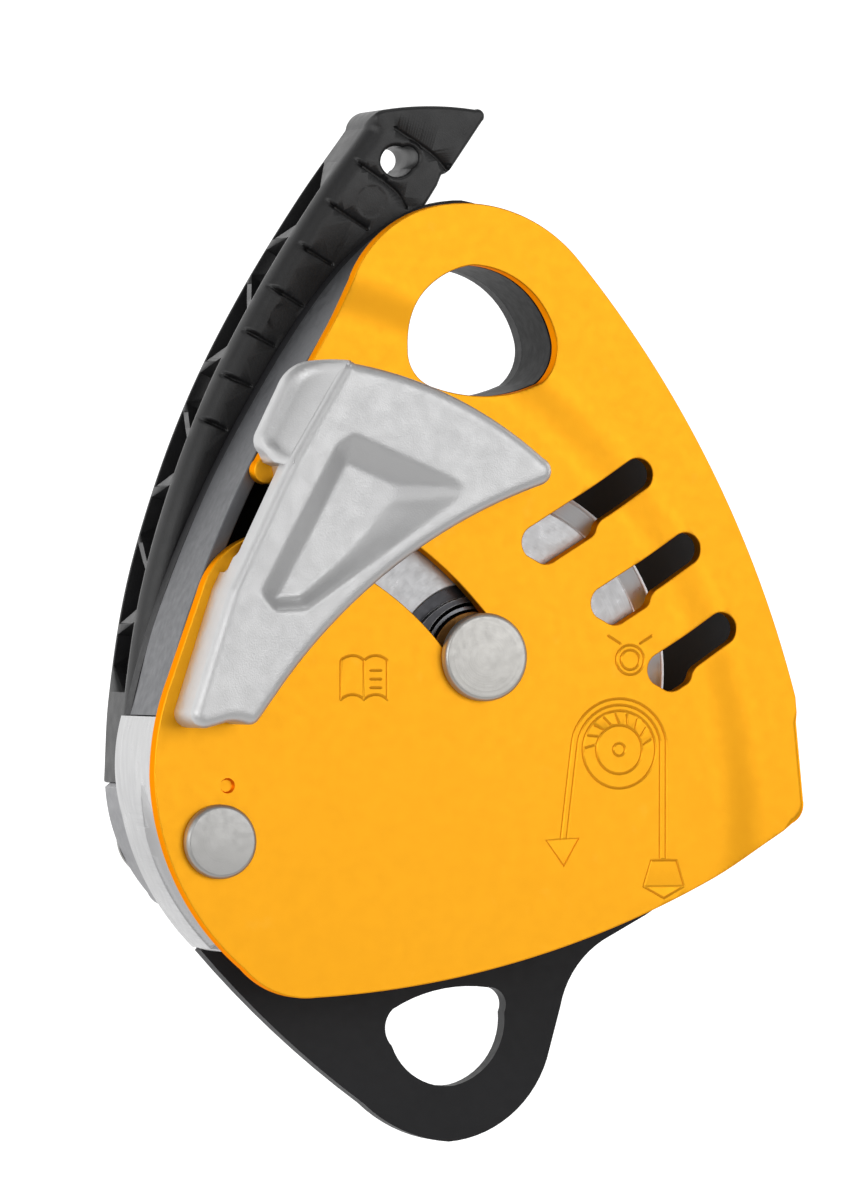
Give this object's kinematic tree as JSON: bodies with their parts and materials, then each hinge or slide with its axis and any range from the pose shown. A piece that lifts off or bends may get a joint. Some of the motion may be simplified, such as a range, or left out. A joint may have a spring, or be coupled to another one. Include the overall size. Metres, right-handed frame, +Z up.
{
  "type": "belay device",
  "caption": "Self-locking descender and belay device: eccentric one-way sheave between side plates, swing-open front plate with a braking horn, release handle behind.",
  "frame": {"origin": "centre of the top attachment hole, midway between the inner faces of the two side plates to within 2 mm", "axes": "+Z up from the becket hole to the attachment hole, +Y from the front plate to the handle side, +X to the load side of the sheave"},
  "size_m": [0.1548, 0.063, 0.2318],
  "materials": {
    "orange_plate": "orange anodised sheet, satin gloss, with pressed pictograms",
    "black_plate": "black anodised sheet, satin",
    "grey_spine": "dark grey anodised, satin",
    "machined_alloy": "bare machined aluminium with tool marks",
    "satin_alloy": "satin grey aluminium",
    "cast_alloy": "fine bead-blasted cast aluminium",
    "turned_sheave": "turned, satin, with fine concentric marks",
    "turned_steel": "turned stainless steel with circular marks",
    "hard_steel": "ground hardened stainless steel",
    "spring_steel": "polished spring and bearing steel",
    "black_screw": "blackened steel",
    "bronze": "plain bearing bronze, satin",
    "black_nylon": "fine-grained black moulded nylon"
  },
  "bodies": {
    "frame": {"rear_side_plate": "black_plate", "side_spine": "grey_spine", "top_spacer": "black_plate", "brake_block": "machined_alloy", "brake_shoe": "hard_steel", "shoe_dowels": "hard_steel", "main_axle": "turned_steel", "plate_pivot_pin": "turned_steel", "frame_screws": "black_screw", "spine_screws": "black_screw", "cover_screws": "black_screw", "front_thrust_washer": "bronze", "axle_circlip": "spring_steel", "axle_nut": "turned_steel", "pivot_washer": "turned_steel", "pivot_nut": "turned_steel", "detent_ball": "spring_steel", "detent_spring": "spring_steel", "rear_cover": "black_nylon"},
    "side_plate": {"front_side_plate": "orange_plate", "friction_horn": "cast_alloy", "horn_rivets": "turned_steel", "plate_bush": "bronze"},
    "handle": {"handle_grip": "black_nylon", "handle_core": "satin_alloy", "handle_bush": "bronze", "crank_pin": "turned_steel"},
    "cam": {"eccentric_hub": "hard_steel", "cam_lever": "hard_steel", "cam_bush": "bronze", "lever_pin": "turned_steel", "cam_return_spring": "spring_steel"},
    "link": {"release_link": "hard_steel"},
    "sheave": {"sheave_front_cheek": "turned_sheave", "sheave_rear_cheek": "turned_sheave", "sheave_core": "turned_sheave", "sheave_rivets": "hard_steel", "one_way_clutch": "spring_steel"}
  },
  "joints": [
    {"name": "side_plate_swing", "type": "hinge", "parent": "frame", "child": "side_plate", "pos_m": [-0.0626, 0, -0.1122], "axis": [0, 1, 0], "range_deg": [0, 75]},
    {"name": "handle_swing", "type": "hinge", "parent": "frame", "child": "handle", "pos_m": [-0.0626, 0, -0.1122], "axis": [0, -1, 0], "range_deg": [0, 90], "stiffness_Nm_per_rad": 0.1, "springref_deg": -68.75},
    {"name": "cam_swing", "type": "hinge", "parent": "frame", "child": "cam", "pos_m": [-0.0012, 0, -0.0719], "axis": [0, -1, 0], "range_deg": [0, 90]},
    {"name": "link_swing", "type": "hinge", "parent": "handle", "child": "link", "pos_m": [-0.05895, 0, -0.09457], "axis": [0, -1, 0], "range_deg": [-90, 0]},
    {"name": "sheave_spin", "type": "hinge", "parent": "cam", "child": "sheave", "pos_m": [-0.0004, 0, -0.0754], "axis": [0, -1, 0], "continuous": true}
  ],
  "couplings": [
    {"joint": "cam_swing", "follows": "handle_swing", "ratio": 1},
    {"joint": "link_swing", "follows": "handle_swing", "ratio": -1}
  ]
}
